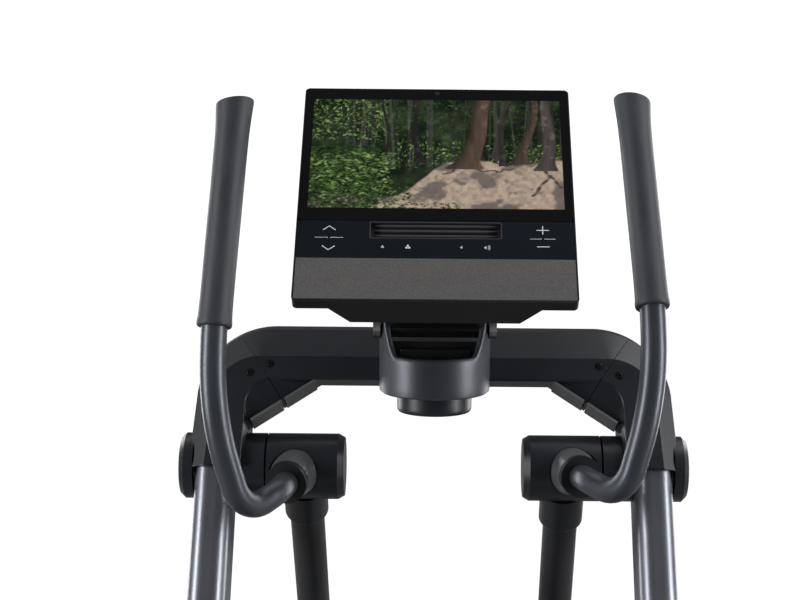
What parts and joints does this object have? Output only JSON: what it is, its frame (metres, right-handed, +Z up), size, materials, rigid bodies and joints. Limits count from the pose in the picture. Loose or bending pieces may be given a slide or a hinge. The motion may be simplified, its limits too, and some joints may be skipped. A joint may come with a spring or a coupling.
{
  "type": "elliptical trainer",
  "caption": "Standing elliptical trainer: leaning uprights with an arch bridge, tilting screen console, swinging handle arms, hanging legs and roller-carried pedal arms.",
  "frame": {"origin": "on the floor at the middle of the footprint", "axes": "+Z up, +Y the way the user faces, +X to the user's right"},
  "size_m": [0.754, 1.488, 1.8474],
  "materials": {
    "satin_graphite_tube": "satin metallic",
    "charcoal_plastic": "fine textured",
    "satin_socket_metal": "satin cast",
    "black_plastic": "satin",
    "handle_tube_paint": "satin metallic",
    "grip_rubber": "fine textured",
    "leg_paint": "satin",
    "pad_foam": "soft moulded",
    "wheel_rubber": "matt",
    "frame_paint": "satin",
    "grey_pad_plastic": "matt",
    "zinc_steel": "bright",
    "foot_rubber": "matt",
    "flywheel_iron": "machined",
    "screen_glass": "glossy",
    "gloss_black": "glossy",
    "speaker_fabric": "woven",
    "board_green": "resist",
    "neck_paint": "satin metallic"
  },
  "bodies": {
    "frame": {"upright_left": "satin_graphite_tube", "upright_right": "satin_graphite_tube", "sleeve_left": "charcoal_plastic", "sleeve_right": "charcoal_plastic", "rear_stabilizer": "frame_paint", "front_stabilizer": "frame_paint", "center_beam": "frame_paint", "bridge_frame": "frame_paint", "bridge_cover_front": "charcoal_plastic", "bridge_cover_rear": "charcoal_plastic", "hub_collars": "charcoal_plastic", "pivot_caps": "charcoal_plastic", "under_pads": "grey_pad_plastic", "cover_screws": "zinc_steel", "pivot_shafts": "zinc_steel", "hub_bearings": "zinc_steel", "stabilizer_caps": "black_plastic", "leveling_feet": "foot_rubber", "shroud_left": "black_plastic", "shroud_right": "black_plastic", "brake_magnets": "zinc_steel", "power_inlet": "black_plastic", "drive_belt": "foot_rubber", "console_neck": "neck_paint", "tilt_pin": "zinc_steel"},
    "swing_arm_left": {"hub_core_left": "satin_socket_metal", "hub_cover_front_left": "charcoal_plastic", "hub_cover_rear_left": "charcoal_plastic", "handle_ring_left": "black_plastic", "handle_tube_left": "handle_tube_paint", "grip_left": "grip_rubber", "leg_collar_left": "charcoal_plastic", "leg_tube_left": "leg_paint"},
    "pedal_arm_left": {"pedal_arm_left": "leg_paint", "pedal_left": "black_plastic", "pedal_pad_left": "pad_foam"},
    "transport_wheel_left": {"wheel_left": "wheel_rubber"},
    "swing_arm_right": {"hub_core_right": "satin_socket_metal", "hub_cover_front_right": "charcoal_plastic", "hub_cover_rear_right": "charcoal_plastic", "handle_ring_right": "black_plastic", "handle_tube_right": "handle_tube_paint", "grip_right": "grip_rubber", "leg_collar_right": "charcoal_plastic", "leg_tube_right": "leg_paint"},
    "pedal_arm_right": {"pedal_arm_right": "leg_paint", "pedal_right": "black_plastic", "pedal_pad_right": "pad_foam"},
    "transport_wheel_right": {"wheel_right": "wheel_rubber"},
    "crank": {"crank_axle": "zinc_steel", "crank_rollers": "foot_rubber", "drive_pulley": "black_plastic"},
    "flywheel": {"flywheel": "flywheel_iron"},
    "console": {"console_housing": "black_plastic", "display_panel": "screen_glass", "control_strip": "gloss_black", "speaker_cloth": "speaker_fabric", "console_board": "board_green", "speakers": "black_plastic", "tilt_bracket": "black_plastic"}
  },
  "joints": [
    {"name": "swing_right", "type": "hinge", "parent": "frame", "child": "swing_arm_right", "pos_m": [0.171, 0.04, 1.365], "axis": [1, 0, 0], "range_deg": [-12.8, 21.2]},
    {"name": "swing_left", "type": "hinge", "parent": "frame", "child": "swing_arm_left", "pos_m": [-0.171, 0.04, 1.365], "axis": [1, 0, 0], "range_deg": [-21.2, 12.8]},
    {"name": "foot_pivot_right", "type": "hinge", "parent": "swing_arm_right", "child": "pedal_arm_right", "pos_m": [0.12, 0.47133, 0.50176], "axis": [1, 0, 0], "range_deg": [-11.79, 7.24]},
    {"name": "foot_pivot_left", "type": "hinge", "parent": "swing_arm_left", "child": "pedal_arm_left", "pos_m": [-0.12, 0.59281, 0.57404], "axis": [1, 0, 0], "range_deg": [-7.24, 11.79]},
    {"name": "crank_spin", "type": "hinge", "parent": "frame", "child": "crank", "pos_m": [0, -0.11, 0.3], "axis": [1, 0, 0], "continuous": true},
    {"name": "flywheel_spin", "type": "hinge", "parent": "frame", "child": "flywheel", "pos_m": [0, 0.19, 0.29], "axis": [1, 0, 0], "continuous": true},
    {"name": "console_tilt", "type": "hinge", "parent": "frame", "child": "console", "pos_m": [0, 0.045, 1.553], "axis": [1, 0, 0], "range_deg": [-10, 12]},
    {"name": "wheel_spin_left", "type": "hinge", "parent": "frame", "child": "transport_wheel_left", "pos_m": [-0.21, 0.711, 0.034], "axis": [1, 0, 0], "continuous": true},
    {"name": "wheel_spin_right", "type": "hinge", "parent": "frame", "child": "transport_wheel_right", "pos_m": [0.21, 0.711, 0.034], "axis": [1, 0, 0], "continuous": true}
  ],
  "couplings": [
    {"joint": "swing_left", "follows": "swing_right", "ratio": -1},
    {"joint": "foot_pivot_right", "follows": "swing_right", "ratio": -0.542},
    {"joint": "foot_pivot_left", "follows": "swing_right", "ratio": 0.542},
    {"joint": "flywheel_spin", "follows": "crank_spin", "ratio": 4.6667}
  ]
}
